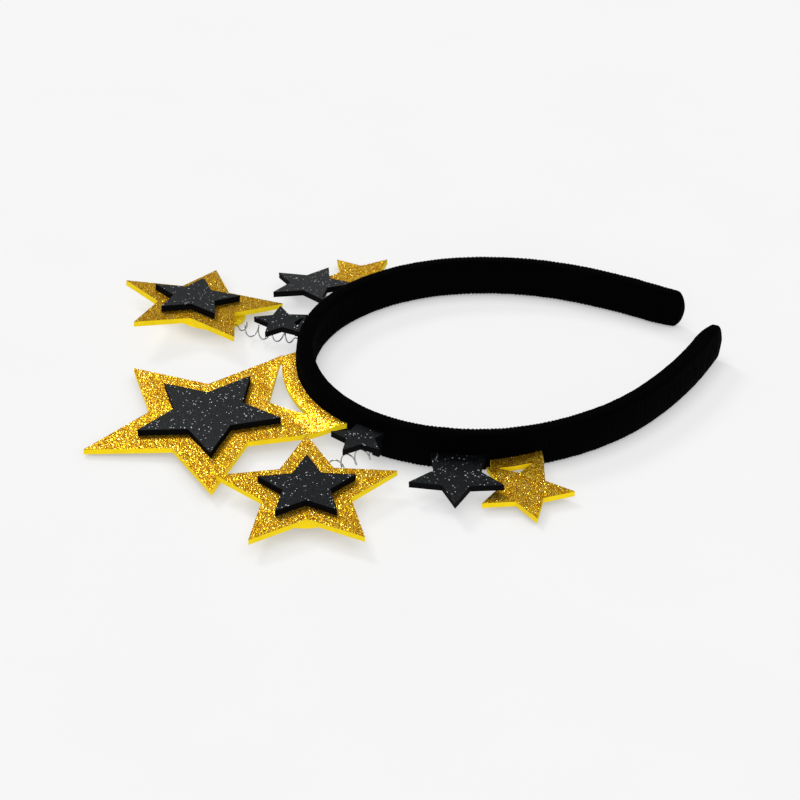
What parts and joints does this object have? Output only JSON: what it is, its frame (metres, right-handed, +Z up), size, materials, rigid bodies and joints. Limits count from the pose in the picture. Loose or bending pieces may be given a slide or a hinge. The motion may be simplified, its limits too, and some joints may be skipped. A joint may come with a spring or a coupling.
{
  "type": "star headband",
  "caption": "Open hoop headband wound in black ribbed velvet, with gold and black glitter foam stars glued along the crown and gold stars that sway on wire coil springs.",
  "frame": {"origin": "middle of the headband's outline in plan, on the surface it lies on", "axes": "+Z up from the surface, -X toward the crown of the hoop and the large star, +Y toward the wearer's left with the glitter faces forward"},
  "size_m": [0.236, 0.1914, 0.0148],
  "materials": {
    "black_velvet": "matte",
    "gold_glitter_foam": "satin",
    "black_glitter_foam": "satin",
    "yellow_foam": "matte",
    "spring_steel": "polished"
  },
  "bodies": {
    "headband": {"band": "black_velvet", "star_centre_gold": "gold_glitter_foam", "star_centre_black": "black_glitter_foam", "spring_left": "spring_steel", "spring_right": "spring_steel", "base_star_left": "black_glitter_foam", "base_star_right": "black_glitter_foam", "side_star_left_black": "black_glitter_foam", "side_star_left_gold": "gold_glitter_foam", "side_star_right_black": "black_glitter_foam", "side_star_right_gold": "gold_glitter_foam"},
    "star_left": {"star_left_gold": "gold_glitter_foam", "star_left_black": "black_glitter_foam", "backing_left": "yellow_foam"},
    "star_right": {"star_right_gold": "gold_glitter_foam", "star_right_black": "black_glitter_foam", "backing_right": "yellow_foam"}
  },
  "joints": [
    {"name": "left_star_sway", "type": "hinge", "parent": "headband", "child": "star_left", "pos_m": [-0.03146, 0.03552, 0.004], "axis": [0, 0, 1], "range_deg": [-12, 12], "stiffness_Nm_per_rad": 0.016, "deforming": ["spring_left"]},
    {"name": "right_star_sway", "type": "hinge", "parent": "headband", "child": "star_right", "pos_m": [-0.02101, -0.04473, 0.0048], "axis": [0, 0, 1], "range_deg": [-12, 12], "stiffness_Nm_per_rad": 0.016, "deforming": ["spring_right"]}
  ]
}
